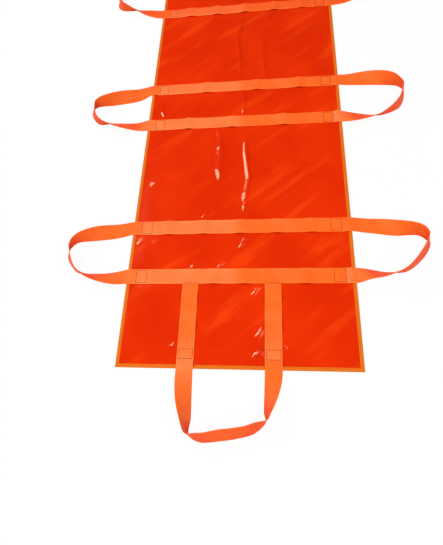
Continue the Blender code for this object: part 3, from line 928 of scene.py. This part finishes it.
halfGap = (strapY["middle_upper"] - strapY["middle_lower"] - webWidth) / 2
legHalfGap = (legX["right"] - legX["left"] - webWidth) / 2
sideArm = halfWidth + gap - seamX
endArm = halfLength + gap - seamY
sideRoutes = {
    ("foot", "left"): (footLeft, 1),
    ("foot", "right"): (footRight, 1),
    ("middle", "left"): (middleLeft, 1),
    ("middle", "right"): (middleRight, 1),
    ("head", "left"): (footLeft, -1),
    ("head", "right"): (footRight, -1),
}
for (label, side), (route, flip) in sideRoutes.items():
    node = f"handle_{label}_{side}"
    rings, cloth = loopRings(route, loopShape["sideReach"], halfGap, sideArm)
    y0 = joints[node + "_swing"]["pos_m"][1]
    rings = placeSide(rings, sides[side], y0, flip)
    addLoop(f"handle{label.capitalize()}{side.capitalize()}", node, rings, cloth)
for label, end in ends.items():
    name, node = f"handle{label.capitalize()}End", f"handle_{label}_end"
    rings, cloth = loopRings(endRoute, loopShape["endReach"], legHalfGap, endArm)
    addLoop(name, node, placeEnd(rings, end), cloth)
print("stretcher: loops ready")


def sewnRow(start, end):
    # Stitch places spaced evenly from start to end, and the way that each lies.
    start, end = np.array(start), np.array(end)
    count = round(math.hypot(*(end - start)) / webbingShape["stitchPitch"])
    shares = (np.arange(count) + 0.5) / count
    return start + shares[:, None] * (end - start), np.tile([*(end - start), 0.0], (count, 1))


def sewnBox(lowX, highX, lowY, highY):
    # Rows along all four sides of a rectangle.
    corners = [(lowX, lowY), (highX, lowY), (highX, highY), (lowX, highY)]
    rows = [sewnRow(a, b) for a, b in zip(corners, corners[1:] + corners[:1])]
    return [np.concatenate(parts) for parts in zip(*rows)]


def addSeam(name, sewn, topAt, section):
    # Each stitch shows on the webbing and again on the sheet's underside.
    places, ways = sewn
    x, y = places.T
    upper = np.stack([x, y, topAt(x, y) + 0.0001], 1)
    lower = np.stack([x, y, sheetUnder + reliefAt(x, y) - 0.0001], 1)
    centres, bothWays = np.concatenate([upper, lower]), np.concatenate([ways, ways])
    piece = addStitches(name, centres, bothWays, webbingShape, paints["seam_thread"])
    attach(piece, section)
    return piece


def strapTopAt(key):
    return lambda x, y: np.interp(x, *strapTops[key])


def legTopAt(label, side):
    y, z = legTops[label, side]
    order = np.argsort(y)
    return lambda x, along: np.interp(along, y[order], z[order])


for key, y0 in strapY.items():
    section = key.split("_")[0] + "_section"
    title = "".join(word.capitalize() for word in key.split("_"))
    for side, sign in sides.items():
        box = sewnBox(*sorted((sign * boxInner, sign * boxOuter)), y0 - boxHalf, y0 + boxHalf)
        piece = addSeam(f"stitches{title}{side.capitalize()}", box, strapTopAt(key), section)
        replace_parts(piece, f"stitch_{key}_{side}")
for label, end in ends.items():
    near, section = label + "_near", label + "_section"
    outerEdge = strapY[near] + end * (webWidth / 2 - webbingShape["rowInset"])
    for side, x0 in legX.items():
        title = f"{label.capitalize()}{side.capitalize()}"
        box = sewnBox(x0 - boxHalf, x0 + boxHalf, *sorted((end * legBoxInner, end * legBoxOuter)))
        piece = addSeam("stitchesLeg" + title, box, legTopAt(label, side), section)
        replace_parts(piece, f"stitch_{label}_leg_{side}")
        row = sewnRow((x0 - boxHalf, outerEdge), (x0 + boxHalf, outerEdge))
        addSeam("stitchesTuck" + title, row, strapTopAt(near), section)
print("stretcher: seams ready")


# The studio
studio = {
    "floor": 0.80,
    "far": 0.96,  # what the camera sees past the floor
    "showWhite": 0.94,  # share of plain white in what the camera sees of the floor
    "ambient": 0.42,
    "mirrored": 0.02,  # what a glossy face sees overhead between the lights
}


def addFloor():
    # A pale floor that the camera sees nearly white, with the object's shadow left in it.
    mesh = bpy.data.meshes.new("floor")
    mesh.from_pydata([(-40, -40, 0), (40, -40, 0), (40, 40, 0), (-40, 40, 0)], [], [(0, 1, 2, 3)])
    floor = bpy.data.objects.new("floor", mesh)
    bpy.context.scene.collection.objects.link(floor)
    material = bpy.data.materials.new("floor")
    tree = NodeTree(material)
    tree.tree.nodes.remove(tree.tree.nodes["Principled BSDF"])
    shade = studio["floor"]
    matt = tree.node("BsdfDiffuse", {}, {"Color": (shade, shade, shade, 1)})
    glow = tree.node("Emission", {}, {"Color": (1, 1, 1, 1), "Strength": 1.0})
    seen = tree.node("LightPath", {}, {}, "Is Camera Ray")
    mixed = tree.node("MixShader", {}, {0: seen * studio["showWhite"], 1: matt, 2: glow})
    tree.feed(tree.tree.nodes["Material Output"].inputs["Surface"], mixed)
    mesh.materials.append(material)
    return floor


def addWorld():
    # Soft light from all round, and the far floor's white where the camera looks past the floor.
    world = bpy.data.worlds.new("studio")
    tree = NodeTree(world)
    background = tree.tree.nodes["Background"]
    camera = tree.node("LightPath", {}, {}, "Is Camera Ray")
    glossy = tree.node("LightPath", {}, {}, "Is Glossy Ray")
    plain = studio["ambient"] - (studio["ambient"] - studio["mirrored"]) * glossy
    strength = plain + (studio["far"] - plain) * camera
    tree.feed(background.inputs["Color"], (1, 1, 1, 1))
    tree.feed(background.inputs["Strength"], strength)
    bpy.context.scene.world = world


def aimed(away):
    # Turns about x, y and z of something whose own z axis points away from what it faces.
    flat = math.hypot(away[0], away[1])
    return (math.atan2(flat, away[2]), 0.0, math.atan2(away[0], -away[1]))


def addSoftbox(name, place, aim, size, radiance):
    # An area light of size metres whose face gives off radiance: power = radiance pi area.
    light = bpy.data.lights.new(name, "AREA")
    light.shape = "RECTANGLE"
    light.size, light.size_y = size
    light.energy = radiance * math.pi * size[0] * size[1]
    lamp = bpy.data.objects.new(name, light)
    lamp.location = place
    away = np.array(place) - np.array(aim)
    lamp.rotation_euler = aimed(away)
    bpy.context.scene.collection.objects.link(lamp)


# Where each stands, the size of its face and how much it gives off. All point at one place.
softboxAim = (0, -0.3, 0)
softboxes = {
    "key": ((-3.12, 2.2, 3.0), (1.2, 2.6), 16),
    "fill": ((2.9, -1.2, 3.0), (2.0, 3.0), 3.4),
    "front": ((-0.6, -3.0, 3.0), (3.0, 1.6), 5.2),
}
view = {
    "place": (0.1019, -1.2045, 1.1983),
    "yaw": -0.29172,
    "pitch": 1.149276,
    "roll": -0.274237,
    "lens": 27.75,
}


def addCamera():
    # Looks down by pitch, turned by yaw about z and by roll about its own axis.
    yaw, pitch, roll = view["yaw"], view["pitch"], view["roll"]
    ahead = np.array([math.sin(yaw) * math.cos(pitch), math.cos(yaw) * math.cos(pitch), -math.sin(pitch)])
    level = np.array([math.cos(yaw), -math.sin(yaw), 0.0])
    above = np.cross(level, ahead)
    right = level * math.cos(roll) + above * math.sin(roll)
    up = above * math.cos(roll) - level * math.sin(roll)
    matrix = np.eye(4)
    matrix[:3, :3] = np.stack([right, up, -ahead], 1)
    matrix[:3, 3] = view["place"]
    data = bpy.data.cameras.new("camera")
    data.lens = view["lens"]
    data.sensor_width = 36
    camera = bpy.data.objects.new("camera", data)
    bpy.context.scene.collection.objects.link(camera)
    camera.matrix_world = matrix.T.tolist()
    bpy.context.scene.camera = camera


floor = addFloor()
addWorld()
for name, (place, size, radiance) in softboxes.items():
    addSoftbox(name, place, softboxAim, size, radiance)
addCamera()
bpy.context.scene.view_settings.view_transform = "Standard"

for name, (low, high) in sheetSpans.items():
    high - low
